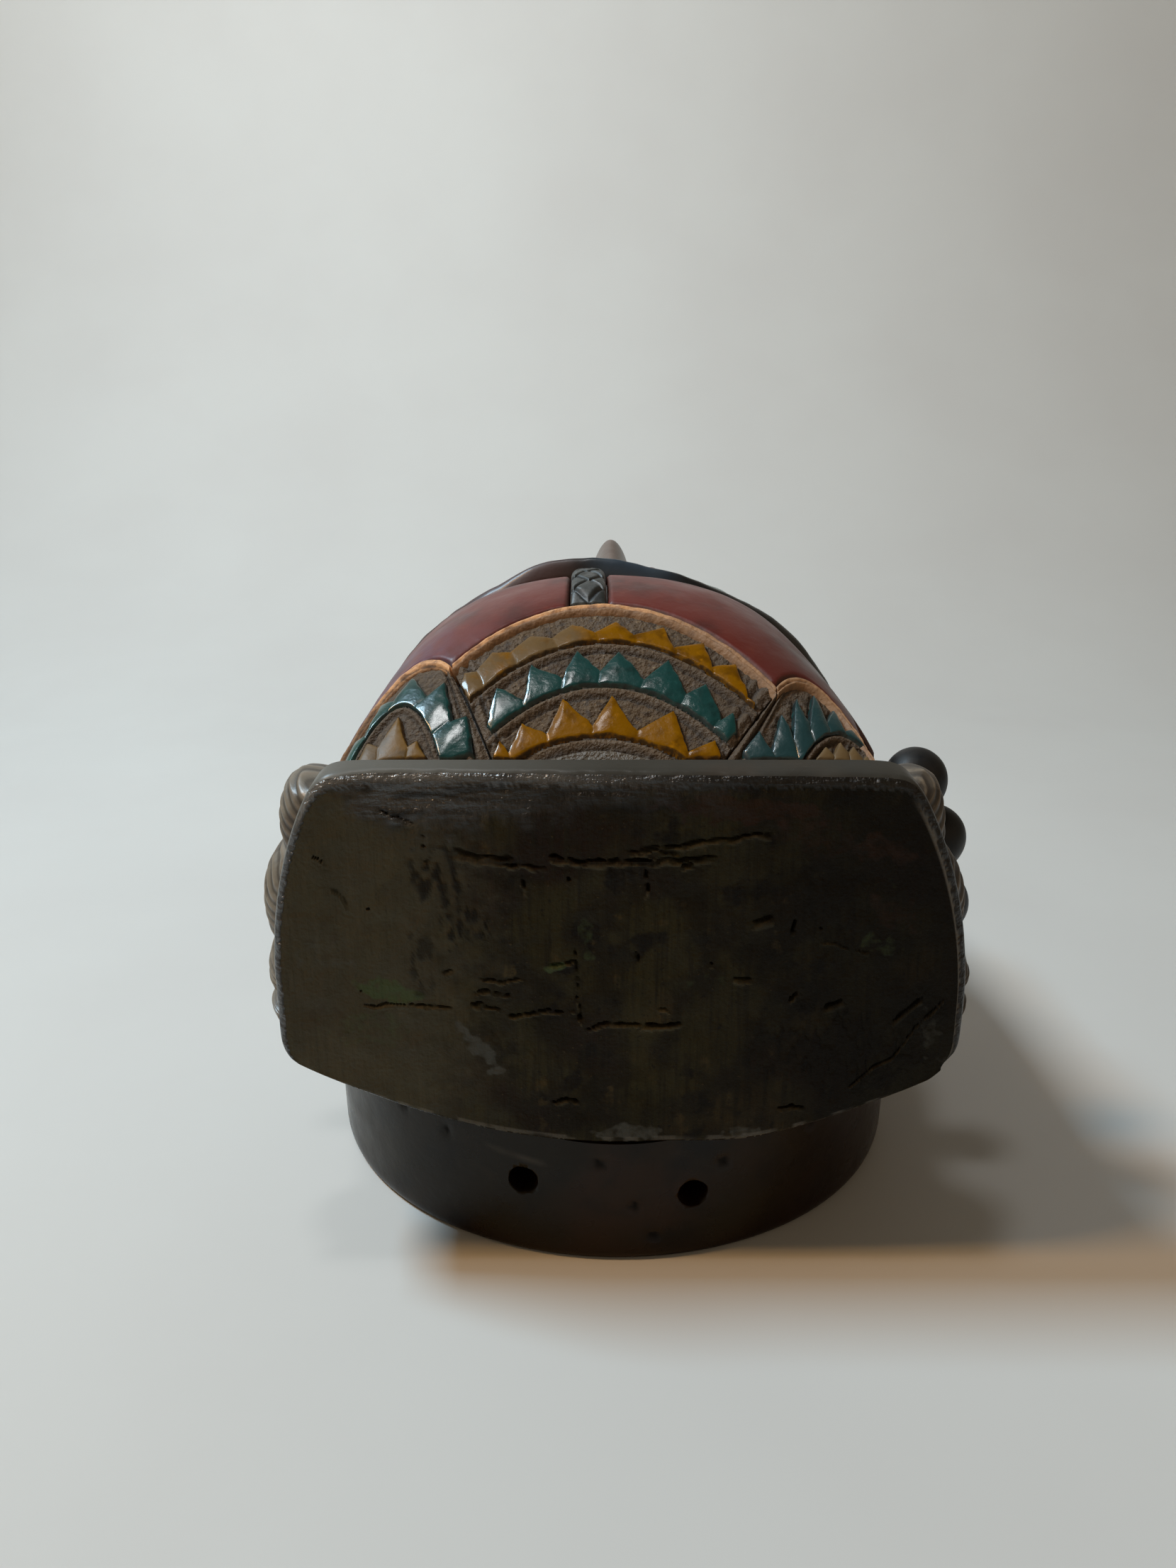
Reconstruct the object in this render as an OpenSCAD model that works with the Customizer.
// Carved and lacquered wooden mask with a fan headdress, lying on its open back.
// +Z points out of the face, -Y is the flat crown end and +Y the chin.
// Every surface is a function of t, the distance from the crown face towards the chin,
// and headdress surfaces also of a, the angle around the crown (0 on top, 90 at the sides).

/* [Face shell and crown wall] */
// Crown face to chin tip
mask_length = 260; // [250:1:280]
// Width of the face at its widest
face_width = 174; // [170:1:176]
// Height of the plain face surface above the rim
face_height = 150; // [144:1:154]
// Thickness of the carved wall
wall = 14; // [12:0.5:15]
// How far each side draws in from its widest height down to the rim
rim_draw = 1.5; // [1:0.5:3]
// Height at which the face is widest
face_belly = 75; // [70:1:80]
// Distance from the crown face at which the rim's rounded corners end
crown_corner = 84; // [80:1:88]
// Distance from the crown face at which the cheeks begin to taper
cheek_start = 112; // [108:1:120]
// Distance from the crown face at which the face begins to fall to the chin
brow_start = 120; // [114:1:130]

/* [Hanging holes] */
// Diameter of the two holes in the crown wall
hole_d = 8; // [5:0.5:10]
// Distance between the two holes
hole_spacing = 44; // [30:1:50]
// Height of the left hole above the rim
hole_height = 22; // [18:1:24]
// Sideways place of the middle between the holes, as they were drilled by hand
hole_middle = -2.8; // [-4:0.1:4]
// How much lower the right hole was drilled
hole_drop = 3; // [0:0.5:4]

/* [Headdress block] */
// Crown face to the joint with the forehead
block_length = 104; // [100:1:108]
// Width of the dome at its widest
crown_width = 160; // [158:1:166]
// Rise of the dome above its widest height
crown_rise = 98; // [94:0.5:102]
// Height at which the dome is widest
crown_belly = 77; // [74:1:80]
// Rise of the hood at the joint above the dome's widest height
hood_rise = 86; // [84:0.5:90]
// Height of the saddle seat at the middle of the crown
seat_mid = 35; // [32:1:38]
// Height of the saddle seat below the dome's sides
seat_side = 58; // [54:1:62]
// How far the block's sides draw in at the lower corners
corner_draw = 2.5; // [1.5:0.5:3.5]
// How far the block's sides spread behind the braids, to cover the crown wall
side_spread = 8; // [7.5:0.5:10]
// Thickness of the block behind the crown face
front_wall = 26; // [25:1:30]
// Length of the plain lip between the crown face and the fans
lip_length = 6.5; // [6:0.5:8]
// How far the lip stands out from the dome's sides
lip_flare = 4; // [3:0.5:5]
// Rounding of the crown face's arris
lip_round = 2; // [1:0.5:3]
// Rise of the lip's front edge above the dome's widest height
lip_rise = 55; // [53:0.5:57]
// Rise of the slope behind the lip above the dome's widest height
slope_rise = 57.5; // [56:0.5:59]
// Depth of the recess that the panels and fans are set into
panel_thick = 3; // [2.5:0.5:4]
// Sideways lean of the dome, as it was carved
dome_lean = -3.2; // [-5:0.1:3]

/* [Fans and panels] */
// Length of the middle fan from the lip to its apex
center_fan_length = 42.4; // [40:0.2:44]
// Length of the left fan from the lip to its apex
left_fan_length = 31.3; // [30:0.1:33]
// Length of the right fan from the lip to its apex
right_fan_length = 24.3; // [23:0.1:26]
// Width of the bare wood edge around each fan
edge_width = 3.5; // [2.5:0.5:4]
// Depth of the carved fan ground below the panels
ground_depth = 1.4; // [1:0.1:1.8]
// Thickness of the lacquered rays
ray_thick = 1.1; // [0.8:0.1:1.2]
// Width of the hatched strip between the crown panels
strip_width = 10; // [8:0.5:13]
// Rise of the hatched strip above the panels
strip_rise = 1.6; // [1:0.1:2.5]
// Length of the dark trim along the front edge of the hood
trim_length = 7; // [5:0.5:9]
// Rise of the dark trim above the panels at the sides
trim_rise = 2.5; // [1.5:0.1:3.5]
// Further rise of the dark trim to its peak in the middle
trim_peak = 7.5; // [5:0.5:9]
// Angle around the crown at which panels end and braids begin
shoulder_angle = 58; // [56:1:60]
// Length of the braids behind the lip
braid_length = 22; // [18:1:24]
// Rise of the braid lobes above the dome's sides
braid_rise = 7.5; // [6:0.5:9]

/* [Side knobs] */
// Radius of the round knobs on the right side
knob_r = 8.5; // [7:0.25:9]
// Radius of the small knobs on the left side
left_knob_r = 6; // [5.5:0.25:6.25]
// Distance of the right knobs from the crown face
knob_line = 48; // [44:1:56]
// Distance of the left knobs from the crown face
left_knob_line = 62; // [60:1:66]
// Diameter of the knob pegs
peg_d = 7; // [5:0.5:8]
// Length of the knob pegs inside the block
peg_length = 12; // [9:0.5:14]

/* [Dowels] */
// Diameter of the dowels between the wooden blocks
dowel_d = 8; // [6:0.5:9]
// Length of the dowels
dowel_length = 32; // [26:1:36]
// Distance of the rear seat dowels from the crown face
rear_dowel_line = 82; // [72:1:84]
// Sideways place of the front seat dowels
front_dowel_x = 45; // [42:1:48]
// Height of the dowels between the crown wall and the face shell
side_dowel_height = 26; // [20:1:32]

/* [Face] */
// Joint to the middle of the brows
brow_line = 11; // [10.5:0.5:12]
// Rise of the brows at the middle
brow_rise = 17; // [14:0.5:19]
// Joint to the eyes
eye_line = 31; // [30:0.5:33]
// Sideways place of the eyes
eye_x = 31; // [30:0.5:33]
// Length of an eye
eye_length = 30; // [26:0.5:31]
// Joint to the root of the nose
nose_root = 20; // [19:0.5:22]
// Length of the nose
nose_length = 47; // [42:1:49]
// Rise of the nose at its tip
nose_rise = 23.5; // [20:0.5:25]
// Joint to the middle of the cheeks
cheek_line = 62; // [60:0.5:64]
// Sideways place of the cheeks
cheek_x = 40; // [39:0.5:42]
// Rise of the cheeks
cheek_rise = 13; // [10:0.5:15]
// Joint to the line between the lips
mouth_line = 88; // [86:0.5:92]
// Length of the mouth
mouth_length = 48; // [40:1:54]
// Rise of the lips
lip_swell = 9; // [7:0.5:11]
// Joint to the middle of the chin boss
chin_line = 120; // [117:0.5:122]
// Rise of the chin boss
chin_rise = 9; // [7:0.5:11]

/* [Fits] */
// Glue line between seated pieces
glue = 0.2; // [0.15:0.05:0.3]
// Thickness of the glue under the pieces laid on the curved crown
crown_glue = 0.3; // [0.25:0.05:0.4]
// Radial clearance of pegs and dowels in their bores
peg_clear = 0.1; // [0.05:0.01:0.15]

/* [Hidden] */

face_half = face_width / 2;
crown_half = crown_width / 2;
joint = block_length;

// Powers of the rounded outlines: 2 is an ellipse, more is squarer
corner_power = 2;
chin_power = 2;
face_power = 3.6;
blend_power = 8;
lip_power = 20;
// Run of the crown slope that the fans lie on, and of the hood's fall to the joint
slope_run = 0.88;
hood_fall = 0.8;
slope_wall = 28;
// Offset of a slope of about 45 degrees for one unit along the normal
slope_offset = 1.4;
// Angle that stands for the lower corner of the block
corner_angle = 115;
// Where the block's sides begin to spread and how far that takes, and how close it keeps to the sides
spread_start = 30;
spread_run = 60;
spread_power = 16;
// How much narrower the block's hollow is at its front than at the joint
hollow_draw = 9;
hollow_start = 60;

// Counts of facets
collar_rows = 4;
collar_straight = 4;
collar_turn = 13;
side_steps = 6;
arch_steps = 22;
face_stations = 18;
block_stations = 13;
block_steps = 34;
side_cols = 7;
shell_steps = 2 * side_steps + arch_steps;
collar_half = collar_straight + collar_turn;

function lerp(from, to, u) = from + (to - from) * u;
function clamp01(u) = min(max(u, 0), 1);
function bow(s) = 1 - pow(2 * s - 1, 2);
function smooth(u) = let (c = clamp01(u)) c * c * (3 - 2 * c);
function sum(list) = list * [for (v = list) 1];
function soft_min(list, p) = pow(sum([for (v = list) pow(max(v, 0.02), -p)]), -1 / p);
function fade(u, p) = pow(1 - pow(clamp01(u), p), 1 / p);
function y_of(t) = t - mask_length / 2;
function flip(list) = [for (i = [len(list) - 1 : -1 : 0]) list[i]];

// Triangles of a grid of rows by columns whose first point has number first
function grid_faces(first, rows, cols) = [
    for (r = [0 : rows - 2], c = [0 : cols - 2])
        let (p = first + r * cols + c)
        each [[p, p + 1, p + cols + 1], [p, p + cols + 1, p + cols]]
];
// Triangles of the strip between two rows of point numbers
function strip_faces(one, two) = [
    for (i = [0 : len(one) - 2])
        each [[one[i], one[i + 1], two[i + 1]], [one[i], two[i + 1], two[i]]]
];
// Triangles with no repeated corner
function real_faces(faces) = [for (f = faces) if (f[0] != f[1] && f[1] != f[2] && f[0] != f[2]) f];
function turned(faces) = [for (f = faces) [f[0], f[2], f[1]]];

// A closed slab between two surfaces given as functions of u and v, each from 0 to 1
module slab(under, over, steps_u, steps_v) {
    cols = steps_v + 1;
    count = (steps_u + 1) * cols;
    low = [for (i = [0 : steps_u], j = [0 : steps_v]) under(i / steps_u, j / steps_v)];
    high = [for (i = [0 : steps_u], j = [0 : steps_v]) over(i / steps_u, j / steps_v)];
    loop = concat(
        [for (j = [0 : steps_v]) j],
        [for (i = [1 : steps_u]) i * cols + steps_v],
        [for (j = [steps_v - 1 : -1 : 0]) steps_u * cols + j],
        [for (i = [steps_u - 1 : -1 : 0]) i * cols]
    );
    polyhedron(
        points = concat(low, high),
        faces = concat(
            grid_faces(0, steps_u + 1, cols),
            turned(grid_faces(count, steps_u + 1, cols)),
            turned(strip_faces(loop, [for (k = loop) k + count]))
        ),
        convexity = 8
    );
}

// Saddle seat between the crown wall and the block, as a height over x
function seat_z(x) = lerp(seat_mid, seat_side, pow(x / crown_half, 2));

// The outer surface of the mask has inset 0 and its hollow has inset wall
function shell_half(t, inset) = (face_half - inset) * (
    t < crown_corner
        ? fade((crown_corner - t) / (crown_corner - inset), corner_power)
        : fade((t - cheek_start) / (mask_length - inset - cheek_start), chin_power)
);
function face_fall(t, inset) = fade((t - brow_start) / (mask_length - inset - brow_start), face_power);
function drawn_in(half, inset, u) = half * (1 - rim_draw * (1 - sin(90 * u)) / (face_half - inset));
function seat_at(half, inset) = seat_z(drawn_in(half, inset, seat_z(half) / face_belly));

// Point of the face's cross-section at t, counted from the right rim over the top to the left rim
function shell_point(t, inset, i) =
    let (
        side = 2 * i <= shell_steps ? 1 : -1,
        k = side > 0 ? i : shell_steps - i,
        half = shell_half(t, inset),
        u = min(k / side_steps, 1),
        b = 180 * max(k - side_steps, 0) / arch_steps,
        x = k <= side_steps ? drawn_in(half, inset, u) : half * cos(b),
        z = k <= side_steps ? face_belly * u : face_belly + (face_height - inset - face_belly) * sin(b)
    )
    [side * x, y_of(t), face_fall(t, inset) * z];

// Numbers of the face's points, from the joint to the chin tip
face_cols = shell_steps + 1;
face_count = face_stations * face_cols + 1;
function face_number(j, i) = j == face_stations ? face_count - 1 : j * face_cols + i;
function face_row(j) = [for (i = [0 : shell_steps]) face_number(j, i)];
function face_edge(i) = [for (j = [0 : face_stations]) face_number(j, i)];
function face_t(j, inset) = lerp(joint, mask_length - inset, sin(90 * j / face_stations));
function face_points(inset) = concat(
    [for (j = [0 : face_stations - 1], i = [0 : shell_steps]) shell_point(face_t(j, inset), inset, i)],
    [[0, y_of(mask_length - inset), 0]]
);
function moved(numbers, step) = [for (n = numbers) n + step];
face_skin = [for (j = [0 : face_stations - 1]) each strip_faces(face_row(j), face_row(j + 1))];
module face_body() {
    polyhedron(
        points = concat(face_points(0), face_points(wall)),
        faces = real_faces(concat(
            face_skin,
            turned([for (f = face_skin) moved(f, face_count)]),
            turned(strip_faces(face_edge(0), moved(face_edge(0), face_count))),
            strip_faces(face_edge(shell_steps), moved(face_edge(shell_steps), face_count)),
            turned(strip_faces(face_row(0), moved(face_row(0), face_count)))
        )),
        convexity = 6
    );
}

// Point of the low wall around the crown, counted from the right joint round to the left joint
function collar_point(c, inset, row) =
    let (
        side = c <= collar_half ? 1 : -1,
        k = side > 0 ? c : 2 * collar_half - c,
        turn = 90 * (1 - max(k - collar_straight, 0) / collar_turn),
        t = k <= collar_straight
            ? lerp(joint - glue, crown_corner, k / collar_straight)
            : inset + (crown_corner - inset) * (1 - pow(cos(turn), 2 / corner_power)),
        half = (face_half - inset) * pow(sin(turn), 2 / corner_power),
        z = seat_at(half, inset) * row / collar_rows
    )
    [side * drawn_in(half, inset, z / face_belly), y_of(t), z];
collar_count = (2 * collar_half + 1) * (collar_rows + 1);
function collar_row(row) = [for (c = [0 : 2 * collar_half]) c * (collar_rows + 1) + row];
function collar_column(c) = [for (row = [0 : collar_rows]) c * (collar_rows + 1) + row];
module collar_body() {
    skin = turned(grid_faces(0, 2 * collar_half + 1, collar_rows + 1));
    last = 2 * collar_half;
    polyhedron(
        points = [for (inset = [0, wall], c = [0 : last], row = [0 : collar_rows]) collar_point(c, inset, row)],
        faces = concat(
            skin,
            turned([for (f = skin) moved(f, collar_count)]),
            strip_faces(collar_row(0), moved(collar_row(0), collar_count)),
            turned(strip_faces(collar_row(collar_rows), moved(collar_row(collar_rows), collar_count))),
            turned(strip_faces(collar_column(0), moved(collar_column(0), collar_count))),
            strip_faces(collar_column(last), moved(collar_column(last), collar_count))
        ),
        convexity = 6
    );
}

// Middle of the crown wall at sideways place x
function collar_front(x, inset) =
    inset + (crown_corner - inset) * (1 - fade(x / (face_half - inset), corner_power));
front_dowel_t = (collar_front(front_dowel_x, 0) + collar_front(front_dowel_x, wall)) / 2;
function wall_middle(z) = (drawn_in(face_half, 0, z / face_belly) + drawn_in(face_half - wall, wall, z / face_belly)) / 2;
rear_dowel_x = wall_middle(seat_z(face_half - wall / 2));
seat_dowel_places = [for (s = [-1, 1]) each [
    [s * front_dowel_x, front_dowel_t],
    [s * rear_dowel_x, rear_dowel_line]
]];
module seat_dowels(radius, length) {
    for (p = seat_dowel_places)
        translate([p[0], y_of(p[1]), seat_z(p[0]) + glue / 2 - length / 2])
            cylinder(r = radius, h = length, $fn = 48);
}
module side_dowels(radius, length) {
    for (s = [-1, 1])
        translate([s * wall_middle(side_dowel_height), y_of(joint - (glue + length) / 2), side_dowel_height])
            rotate([-90, 0, 0])
                cylinder(r = radius, h = length, $fn = 48);
}
bore_r = dowel_d / 2 + peg_clear;
bore_length = dowel_length + 2 * glue;

module face_shell() {
    color([0.20, 0.15, 0.12])
    difference() {
        face_body();
        side_dowels(bore_r, bore_length);
    }
}

module crown_wall() {
    color([0.14, 0.13, 0.12])
    difference() {
        collar_body();
        for (s = [-1, 1])
            translate([hole_middle + s * hole_spacing / 2, y_of(-1), hole_height - (s > 0 ? hole_drop : 0)])
                rotate([-90, 0, 0])
                    cylinder(d = hole_d, h = crown_corner / 2 + 1, $fn = 48);
        seat_dowels(bore_r, bore_length);
        side_dowels(bore_r, bore_length);
    }
}

module joint_dowels() {
    color([0.62, 0.46, 0.28]) {
        seat_dowels(dowel_d / 2, dowel_length);
        side_dowels(dowel_d / 2, dowel_length);
    }
}

// Headdress surface at angle a and distance t, offset outwards by level
function slope_at(t) = t < lip_length
    ? lerp(lip_rise, slope_rise, t / lip_length)
    : slope_rise + slope_run * (t - lip_length);
function hood_at(t) = hood_rise + hood_fall * (joint - t);
function dress_half(t, level) = crown_half + level + (t < lip_length ? lip_flare : 0);
function spread_at(a, t) =
    side_spread * smooth((t - spread_start) / spread_run) * pow(sin(min(abs(a), 90)), spread_power);
function corner_x(t, level) = dress_half(t, level) + spread_at(corner_angle, t) - corner_draw;
function lean_at(a, t) = dome_lean * pow(cos(min(abs(a), 90)), t < lip_length ? 1 : 0.5);
function dress(a, t, level) =
    let (
        side = a < 0 ? -1 : 1,
        turn = abs(a),
        low = max(turn - 90, 0) / (corner_angle - 90),
        half = dress_half(t, level),
        x = (turn <= 90 ? half * sin(turn) : half - corner_draw * pow(low, 8)) + spread_at(a, t),
        rise = soft_min([
            (crown_rise + level) * cos(min(turn, 90)),
            slope_at(t) + slope_offset * level,
            hood_at(t) + level
        ], t < lip_length ? lip_power : blend_power),
        z = turn < 90 ? crown_belly + rise : lerp(crown_belly, seat_z(corner_x(t, level)) + glue, low)
    )
    [side * x + lean_at(a, t), y_of(t), z];
// The recess runs out at the shoulders, where the block's sides stay whole
shoulder_fade = 4;
function recess_at(a) = panel_thick * clamp01((shoulder_angle + shoulder_fade - abs(a)) / shoulder_fade);
function seat_level(a) = crown_glue - recess_at(a);

// The hollow under the block widens into the face shell's own hollow
function hollow_half(t) =
    face_half - wall - hollow_draw * (1 - smooth((t - hollow_start) / (joint - hollow_start)));
function hollow(t, i) =
    let (
        inset = wall,
        side = 2 * i <= block_steps ? 1 : -1,
        k = side > 0 ? i : block_steps - i,
        half = hollow_half(t),
        seat = seat_at(half, inset) + glue,
        low_steps = 3,
        u = lerp(seat / face_belly, 1, min(k / low_steps, 1)),
        b = 90 * max(k - low_steps, 0) / (block_steps / 2 - low_steps),
        rise = soft_min([
            (face_height - inset - face_belly) * sin(b),
            slope_at(t) - slope_wall
        ], blend_power),
        x = k <= low_steps ? drawn_in(half, inset, u) : half * cos(b),
        z = k <= low_steps ? face_belly * u : face_belly + (b > 0 ? rise : 0)
    )
    [side * x, y_of(t), z];

// Stations of the block as distance, level and share of the recess: arris, lip, step down, recess
block_end = joint - glue;
block_rows = concat(
    [[0, -lip_round, 0], [lip_round, 0, 0], [lip_length - 0.01, 0, 0]],
    [for (j = [0 : block_stations]) [lerp(lip_length, block_end, j / block_stations), 0, 1]]
);
function block_point(row, a) = dress(a, row[0], row[1] - row[2] * recess_at(a));
block_cols = block_steps + 1;
block_skin = len(block_rows) * block_cols;
function block_number(j, i) = j * block_cols + i;
// The recess's edges at the shoulders always fall on facet lines
function half_angle(k) = k <= side_cols
    ? lerp(corner_angle, shoulder_angle + shoulder_fade, k / side_cols)
    : lerp(shoulder_angle, 0, max(k - side_cols - 1, 0) / (block_steps / 2 - side_cols - 1));
function block_angle(i) = 2 * i <= block_steps ? half_angle(i) : -half_angle(block_steps - i);
function hollow_t(j) = lerp(front_wall, block_end, j / (len(block_rows) - 1));
function under_edge(x_end, t) = [
    for (i = [1 : block_steps - 1])
        let (x = lerp(x_end, -x_end, i / block_steps))
        [x, y_of(t), seat_z(x) + glue]
];
module block_body() {
    last = len(block_rows) - 1;
    edge_start = 2 * block_skin;
    front_edge = concat([block_number(0, 0)], [for (i = [0 : block_steps - 2]) edge_start + i],
        [block_number(0, block_steps)]);
    inner_edge = concat([block_skin], [for (i = [0 : block_steps - 2]) edge_start + block_steps - 1 + i],
        [block_skin + block_steps]);
    front_row = [for (i = [0 : block_steps]) block_number(0, i)];
    rear_row = [for (i = [0 : block_steps]) block_number(last, i)];
    right_edge = [for (j = [0 : last]) block_number(j, 0)];
    left_edge = [for (j = [0 : last]) block_number(j, block_steps)];
    polyhedron(
        points = concat(
            [for (r = block_rows, i = [0 : block_steps]) block_point(r, block_angle(i))],
            [for (j = [0 : last], i = [0 : block_steps]) hollow(hollow_t(j), i)],
            under_edge(corner_x(0, -lip_round), 0),
            under_edge(hollow(front_wall, 0)[0], front_wall)
        ),
        faces = real_faces(concat(
            turned(grid_faces(0, last + 1, block_cols)),
            grid_faces(block_skin, last + 1, block_cols),
            strip_faces(front_row, front_edge),
            turned(strip_faces([for (n = front_row) n + block_skin], inner_edge)),
            turned(strip_faces(rear_row, [for (n = rear_row) n + block_skin])),
            strip_faces(right_edge, [for (n = right_edge) n + block_skin]),
            turned(strip_faces(left_edge, [for (n = left_edge) n + block_skin])),
            strip_faces(front_edge, inner_edge)
        )),
        convexity = 8
    );
}

// Side knobs as [height above the dome's widest height, reach of the middle beyond the dome's half width]
right_knobs = [[40, 1], [23.5, 7.5], [4, 10]];
left_knobs = [[19, 7], [6, 12.5], [-7, 11]];
function knob_spots(side) = [
    for (k = side > 0 ? right_knobs : left_knobs) [crown_belly + k[0], crown_half + k[1]]
];
knob_neck = 4.5;
function knob_t(side) = side > 0 ? knob_line : left_knob_line;
// Angle and sideways place of the block's surface at height z
function side_angle(z) = acos(clamp01((z - crown_belly) / crown_rise));
function side_x(side, z) =
    let (a = side_angle(z))
    crown_half * sin(a) + spread_at(a, knob_t(side) + knob_neck) + side * lean_at(a, knob_t(side));
function knob_foot(side, z) = side_x(side, z - knob_neck) + glue;

module headdress_block() {
    color([0.16, 0.13, 0.10])
    difference() {
        block_body();
        seat_dowels(bore_r, bore_length);
        for (s = [-1, 1], spot = knob_spots(s))
            translate([s * (knob_foot(s, spot[0]) + 1), y_of(knob_t(s)), spot[0]])
                rotate([0, -s * 90, 0])
                    cylinder(d = peg_d + 2 * peg_clear, h = peg_length + 1 + glue, $fn = 40);
    }
}

// A turned knob on its peg, pointing along X
module knob(side, spot) {
    z = spot[0];
    foot = knob_foot(side, z);
    centre = spot[1];
    ball_r = side > 0 ? knob_r : left_knob_r;
    translate([0, y_of(knob_t(side)), z])
        rotate([0, 90, 0])
            rotate_extrude($fn = 48)
                union() {
                    intersection() {
                        translate([0, centre]) circle(r = ball_r, $fn = 48);
                        translate([0, foot]) square([ball_r, 2 * ball_r + centre - foot]);
                    }
                    translate([0, foot]) square([knob_neck, centre - foot]);
                    translate([0, foot - peg_length]) square([peg_d / 2, peg_length + 1]);
                }
}
module side_knobs(side) {
    color([0.12, 0.07, 0.06])
        for (spot = knob_spots(side))
            if (side > 0) knob(side, spot);
            else mirror([1, 0, 0]) knob(side, spot);
}

// Fans: each is a parabola of t over the angle, as [middle angle, half span, apex, t at the half span]
center_fan = [-1.5, 25, lip_length + center_fan_length, lip_length + center_fan_length - 14.2];
left_fan = [-38, 19, lip_length + left_fan_length, lip_length];
right_fan = [38, 14.5, lip_length + right_fan_length, lip_length];
function fan_rim(fan, a) = lerp(fan[2], fan[3], pow((a - fan[0]) / fan[1], 2));
// Angle between two fans' middles at which their rims meet
function fan_meet(one, two) =
    let (
        k1 = (one[2] - one[3]) / pow(one[1], 2),
        k2 = (two[2] - two[3]) / pow(two[1], 2),
        a = k2 - k1,
        b = 2 * (k1 * one[0] - k2 * two[0]),
        c = one[2] - two[2] - k1 * pow(one[0], 2) + k2 * pow(two[0], 2),
        root = sqrt(b * b - 4 * a * c),
        first = (-b - root) / (2 * a),
        second = (-b + root) / (2 * a)
    )
    (first - one[0]) * (first - two[0]) < 0 ? first : second;
// Angles at which neighbouring fans meet, on the rim and at the lip
left_valley = fan_meet(center_fan, left_fan);
right_valley = fan_meet(center_fan, right_fan);
left_valley_foot = -20;
right_valley_foot = 19.6;
left_fan_end = -55;
right_fan_end = 51;
fan_base = lip_length + glue;
split = 0.35;
function fan_span(fan) =
    fan == center_fan ? [left_valley + split, right_valley - split]
    : fan == left_fan ? [left_fan_end, left_valley - split]
    : [right_valley + split, right_fan_end];
function fan_foot(fan) =
    fan == center_fan ? [left_valley_foot + split, right_valley_foot - split]
    : fan == left_fan ? [left_fan_end, left_valley_foot - split]
    : [right_valley_foot + split, right_fan_end];
// Place on a fan: u from left to right, v from the lip to the rim's inner side
function fan_place(fan, u, v) =
    let (
        rim_a = lerp(fan_span(fan)[0], fan_span(fan)[1], u),
        foot_a = lerp(fan_foot(fan)[0], fan_foot(fan)[1], u)
    )
    [lerp(foot_a, rim_a, v), lerp(fan_base, max(fan_rim(fan, rim_a) - edge_width - glue, fan_base + 1), v)];

ground_level = -ground_depth;
ray_level = ground_level + ray_thick;
module fan_ground(fan) {
    color([0.42, 0.33, 0.26])
        slab(
            function(u, v) let (p = fan_place(fan, u, v)) dress(p[0], p[1], seat_level(p[0])),
            function(u, v) let (p = fan_place(fan, u, v)) dress(p[0], p[1], ground_level),
            20, 6
        );
}
module fan_edge(fan) {
    function at(u, v) =
        let (a = lerp(fan_span(fan)[0], fan_span(fan)[1], u))
        [a, max(fan_rim(fan, a), fan_base + 1 + edge_width) - edge_width * (1 - v)];
    color([0.72, 0.47, 0.30])
        slab(
            function(u, v) let (p = at(u, v)) dress(p[0], p[1], seat_level(p[0])),
            function(u, v) let (p = at(u, v)) dress(p[0], p[1], 0.6),
            20, 1
        );
}
// Pointed rays between two arcs of a fan, each given as [angle, t] over s from 0 to 1
notch_share = 0.3;
tip_share = 0.84;
module fan_rays(inner, outer, teeth, paint) {
    function reach(s) = round(s * 2 * teeth) % 2 == 0 ? notch_share : tip_share;
    function at(s, w) = inner(s) + (outer(s) - inner(s)) * lerp(0.05, reach(s), w);
    color(paint)
        slab(
            function(s, w) let (p = at(s, w)) dress(p[0], p[1], ground_level + glue),
            function(s, w) let (p = at(s, w)) dress(p[0], p[1], ray_level),
            2 * teeth, 2
        );
}
// An arc as [middle angle, apex from the lip, fall per square degree, first angle, last angle]
function arc_at(arc, s) =
    let (a = lerp(arc[3], arc[4], s))
    [a, lip_length + arc[1] - arc[2] * pow(a - arc[0], 2)];
// Height of a fan's field at angle a: under the rim's edge and clear of the valleys to its neighbours
function valley_t(a, top_a, foot_a, top_t) = lerp(fan_base, top_t, (a - foot_a) / (top_a - foot_a));
function field_t(fan, a) =
    let (
        rim = fan_rim(fan, a) - edge_width - glue,
        left = valley_t(a, left_valley, left_valley_foot, fan_rim(center_fan, left_valley)),
        right = valley_t(a, right_valley, right_valley_foot, fan_rim(center_fan, right_valley))
    )
    fan == left_fan ? (a > left_valley ? left - 1 : min(rim, left - 1))
    : fan == right_fan ? (a < right_valley ? right - 1 : min(rim, right - 1))
    : rim;
function field_arc(fan, from_a, to_a, s) = let (a = lerp(from_a, to_a, s)) [a, field_t(fan, a)];
mustard = [0.66, 0.44, 0.07];
teal = [0.14, 0.38, 0.42];
// Arcs of the middle fan, from the small inner arch to the rim
arch_a = function(s) arc_at([-1.5, 5.5, 0.0235, -15.5, 12.5], s);
arch_b = function(s) arc_at([-0.8, 17.4, 0.0283, -20.6, 19.6], s);
arch_c = function(s) arc_at([0, center_fan_length - 13.4, 0.024, -24.2, 25.2], s);
arch_d = function(s) field_arc(center_fan, left_valley + 1.5, right_valley - 1.5, s);
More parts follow.
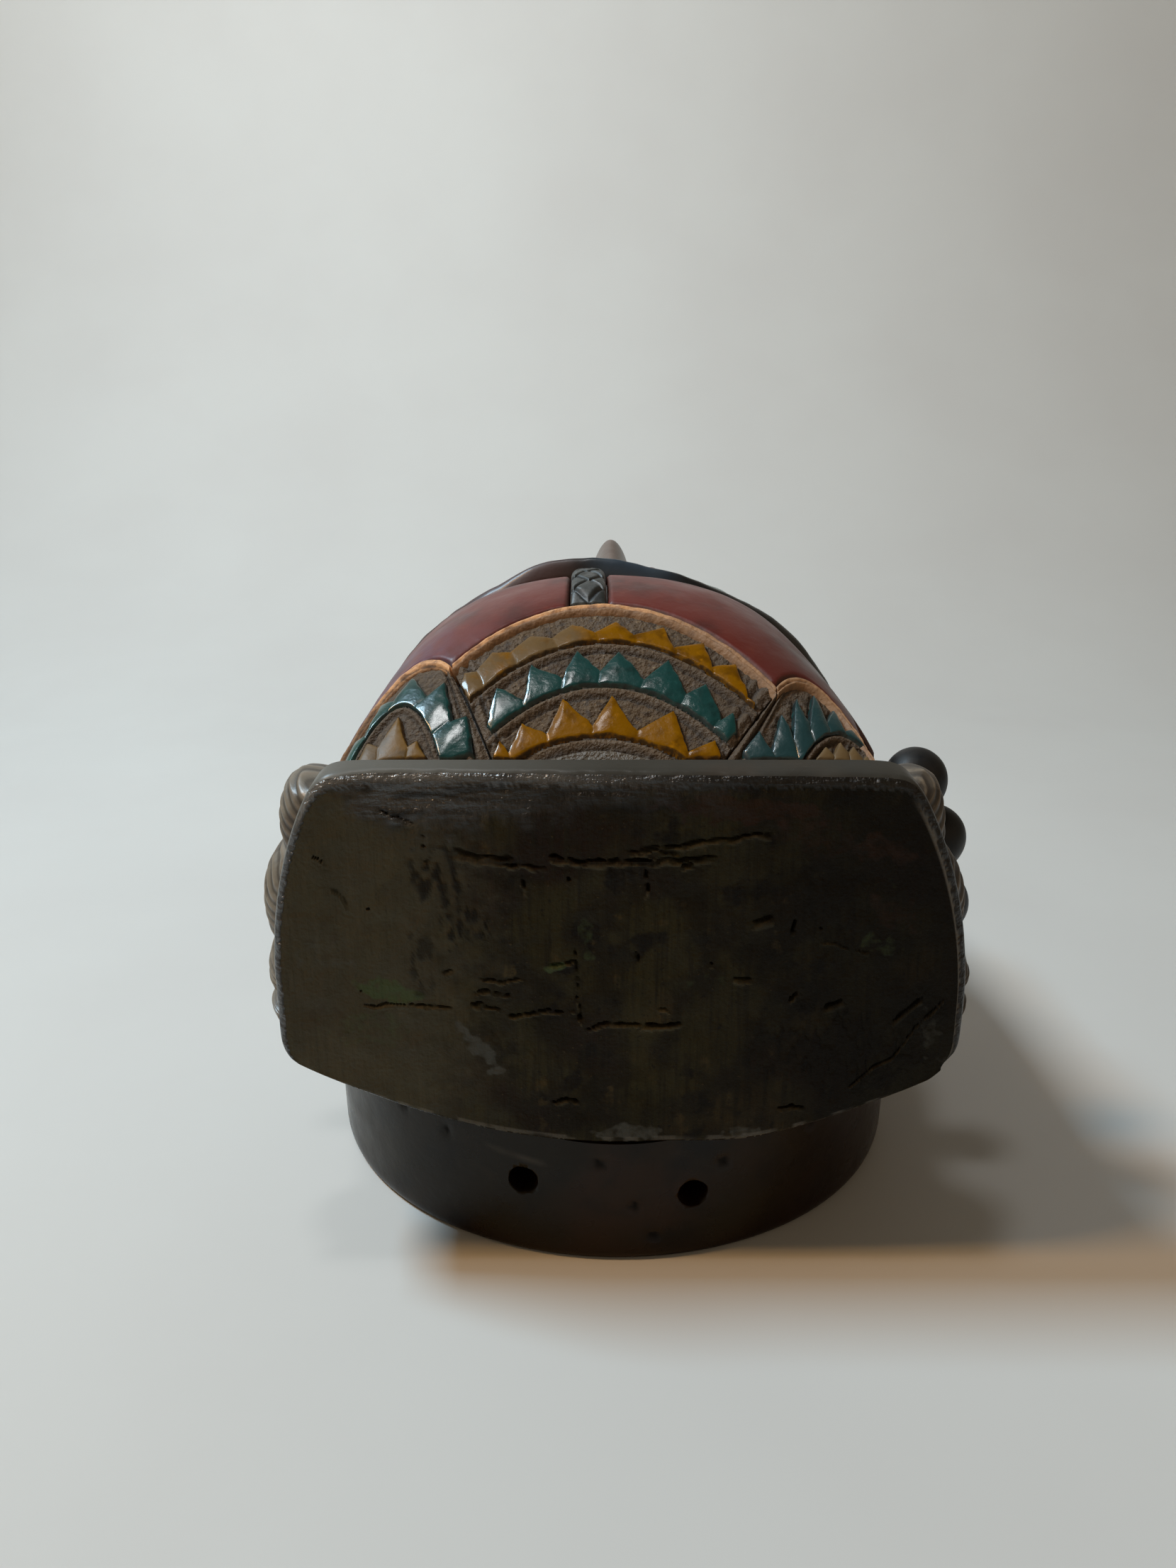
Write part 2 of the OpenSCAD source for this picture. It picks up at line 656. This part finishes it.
// Arcs of the side fans: the inner arch leans away from the middle fan
left_low = function(s) arc_at([-41, 1.2, 0, -48, -33.4], s);
left_arch = function(s) arc_at([-40.5, 15.8, 0.135, -50.5, -30.4], s);
left_rim = function(s) field_arc(left_fan, left_fan_end + 1, left_valley_foot - 1.8, s);
right_low = function(s) arc_at([44, 0.8, 0, 37, 49.5], s);
right_arch = function(s) arc_at([44.5, 8.4, 0.075, 35, 50.4], s);
right_rim = function(s) field_arc(right_fan, right_valley_foot + 1.8, right_fan_end - 0.4, s);

// Crown panels lie between the fans' rims and the trim
function panel_start(a) = max(
    abs(a) > 50 ? lip_length + braid_length + 2 * glue : 0,
    fan_rim(center_fan, a), fan_rim(left_fan, a), fan_rim(right_fan, a)
) + glue;
panel_end = joint - trim_length - 2 * glue;
strip_half = asin(strip_width / 2 / crown_half);
strip_middle = -3.4;
module crown_panel(from_a, to_a) {
    function at(u, v) = let (a = lerp(from_a, to_a, u)) [a, lerp(panel_start(a), panel_end, v)];
    color([0.42, 0.08, 0.09])
        slab(
            function(u, v) let (p = at(u, v)) dress(p[0], p[1], seat_level(p[0])),
            function(u, v) let (p = at(u, v)) dress(p[0], p[1], 0),
            18, 10
        );
}
module crown_strip() {
    start = panel_start(strip_middle) + glue;
    function at(u, v) = [strip_middle + lerp(-1, 1, u) * (strip_half - split / 2), lerp(start, panel_end, v)];
    color([0.30, 0.32, 0.34])
        slab(
            function(u, v) let (p = at(u, v)) dress(p[0], p[1], seat_level(p[0])),
            function(u, v) let (p = at(u, v)) dress(p[0], p[1], strip_rise * (0.6 + 0.4 * bow(u))),
            4, 10
        );
}
peak_span = 36;
module hood_trim() {
    end_a = corner_angle - 1;
    function at(u, v) = [max(-end_a, min(end_a, -block_angle(u * block_steps))), lerp(panel_end + glue, block_end, v)];
    function crest(a) = trim_rise + trim_peak * smooth(1 - abs(a - strip_middle) / peak_span);
    color([0.10, 0.12, 0.15])
        slab(
            function(u, v) let (p = at(u, v)) dress(p[0], p[1], seat_level(p[0])),
            function(u, v) let (p = at(u, v)) dress(p[0], p[1], crest(p[0]) * (0.3 + 0.7 * bow(v))),
            block_steps, 4
        );
}

// Braid of slanted lobes down the side of the block, just behind the lip
braid_lobes = 4;
braid_slant = 0.6;
module side_braid(side) {
    function at(u, v) = [side * lerp(shoulder_angle + 1, corner_angle - 1, u),
        lip_length + glue + braid_length * v];
    function swell(u, v) =
        let (lobe = sqrt(abs(sin(180 * (braid_lobes * u + braid_slant * v)))))
        lerp(0.25, 1, lobe * sqrt(bow(v)));
    color([0.38, 0.31, 0.25])
        slab(
            function(u, v) let (p = at(side > 0 ? u : 1 - u, v)) dress(p[0], p[1], seat_level(p[0])),
            function(u, v) let (k = side > 0 ? u : 1 - u, p = at(k, v))
                dress(p[0], p[1], seat_level(p[0]) + braid_rise * swell(k, v)),
            28, 5
        );
}

// The face carries its features on the plain surface of the shell
function face_z(x, t) =
    let (half = shell_half(t, 0), fall = face_fall(t, 0))
    fall * (face_belly + (face_height - face_belly) * sqrt(1 - pow(clamp01(abs(x) / half), 2)));
// A feature on the face: place gives [x, t] and swell the rise, both over u and v
module feature(place, swell, steps_u, steps_v) {
    function at(p, rise) = [p[0], y_of(p[1]), face_z(p[0], p[1]) + rise];
    slab(
        function(u, v) at(place(u, v), glue),
        function(u, v) at(place(u, v), glue + swell(u, v)),
        steps_u, steps_v
    );
}
rim_rise = 0.8;
// A rounded boss of half lengths rx and rt; its square grid is drawn onto an ellipse
module boss(side, x, t, rx, rt, rise, steps) {
    function disc(u, v) =
        let (p = 2 * u - 1, q = 2 * v - 1)
        [p * sqrt(1 - q * q / 2), q * sqrt(1 - p * p / 2)];
    feature(
        function(u, v) let (d = disc(u, v)) [side * x + rx * d[0], joint + t + rt * d[1]],
        function(u, v) let (d = disc(u, v))
            rim_rise + (rise - rim_rise) * sqrt(clamp01(1 - d[0] * d[0] - d[1] * d[1])),
        steps, steps
    );
}
// A ridge that runs sideways along a bowed line; half is its half width over s
module side_ridge(side, from_x, to_x, line, half, rise) {
    feature(
        function(u, v) let (s = side > 0 ? u : 1 - u)
            [side * lerp(from_x, to_x, s), joint + line(s) + half(s) * (2 * v - 1)],
        function(u, v) let (s = side > 0 ? u : 1 - u) rim_rise + rise(s) * sqrt(bow(v)),
        12, 4
    );
}

module brow(side) {
    color(side > 0 ? [0.14, 0.17, 0.21] : [0.22, 0.12, 0.09])
        side_ridge(side, 0.3, eye_x + 24,
            function(s) brow_line + 5 * pow(s, 2),
            function(s) lerp(8.5, 4, s),
            function(s) lerp(brow_rise, 3, pow(s, 0.8)));
}
module eye(side) {
    color([0.80, 0.74, 0.60]) boss(side, eye_x, eye_line, eye_length / 2, 6.4, 5.5, 8);
}
module eyelid(side, way) {
    rim = way < 0 ? 9.6 : 9.0;
    color([0.24, 0.12, 0.09])
        side_ridge(side, eye_x - eye_length / 2 - 1, eye_x + eye_length / 2 + 1,
            function(s) eye_line + way * (1.6 + (rim - 1.6) * sqrt(bow(s)) * 0.95),
            function(s) lerp(0.9, 1.7, bow(s)),
            function(s) lerp(1.2, 3.6, bow(s)));
}
module nose() {
    function half(s) = lerp(5, 8.2, smooth(s));
    function ridge(s) = lerp(7, nose_rise, pow(s, 0.8)) * (s > 0.86 ? sqrt(1 - pow((s - 0.86) / 0.2, 2)) : 1);
    color([0.36, 0.28, 0.23])
        feature(
            function(u, v) [half(v) * (2 * u - 1), joint + nose_root + nose_length * v],
            function(u, v) rim_rise + ridge(v) * pow(bow(u), 0.6) * smooth(v / 0.06 + 0.3),
            6, 12
        );
}
module nostril(side) {
    color([0.40, 0.07, 0.07])
        boss(side, 14.8, nose_root + nose_length - 9, 6.2, 8.5, 13, 6);
}
module cheek(side) {
    color([0.05, 0.22, 0.20]) boss(side, cheek_x, cheek_line, 18, 15, cheek_rise, 10);
}
module lip(way) {
    color([0.45, 0.09, 0.09])
        side_ridge(1, -mouth_length / 2, mouth_length / 2,
            function(s) mouth_line + way * lerp(1.2, 5.2, bow(s)),
            function(s) lerp(1, 4.6, bow(s)),
            function(s) lerp(1, lip_swell, bow(s)));
}
module chin_boss() {
    color([0.38, 0.08, 0.08]) boss(1, 0, chin_line, 19, 12, chin_rise, 8);
}

face_shell();
crown_wall();
headdress_block();
joint_dowels();
fan_ground(center_fan);  // fan_center_ground
fan_ground(left_fan);  // fan_left_ground
fan_ground(right_fan);  // fan_right_ground
fan_edge(center_fan);  // fan_center_edge
fan_edge(left_fan);  // fan_left_edge
fan_edge(right_fan);  // fan_right_edge
fan_rays(arch_c, arch_d, 8, mustard);  // fan_center_outer_rays
fan_rays(arch_b, arch_c, 7, teal);  // fan_center_middle_rays
fan_rays(arch_a, arch_b, 6, mustard);  // fan_center_inner_rays
fan_rays(left_arch, left_rim, 5, teal);  // fan_left_outer_rays
fan_rays(left_low, left_arch, 3, mustard);  // fan_left_inner_rays
fan_rays(right_arch, right_rim, 6, teal);  // fan_right_outer_rays
fan_rays(right_low, right_arch, 4, mustard);  // fan_right_inner_rays
crown_panel(-shoulder_angle, strip_middle - strip_half);  // crown_panel_left
crown_panel(strip_middle + strip_half, shoulder_angle);  // crown_panel_right
crown_strip();
hood_trim();
side_braid(-1);  // side_braid_left
side_braid(1);  // side_braid_right
side_knobs(-1);  // side_knobs_left
side_knobs(1);  // side_knobs_right
brow(-1);  // brow_left
brow(1);  // brow_right
eye(-1);  // eye_left
eye(1);  // eye_right
eyelid(-1, -1);  // upper_lid_left
eyelid(1, -1);  // upper_lid_right
eyelid(-1, 1);  // lower_lid_left
eyelid(1, 1);  // lower_lid_right
nose();
nostril(-1);  // nostril_left
nostril(1);  // nostril_right
cheek(-1);  // cheek_left
cheek(1);  // cheek_right
lip(-1);  // upper_lip
lip(1);  // lower_lip
chin_boss();
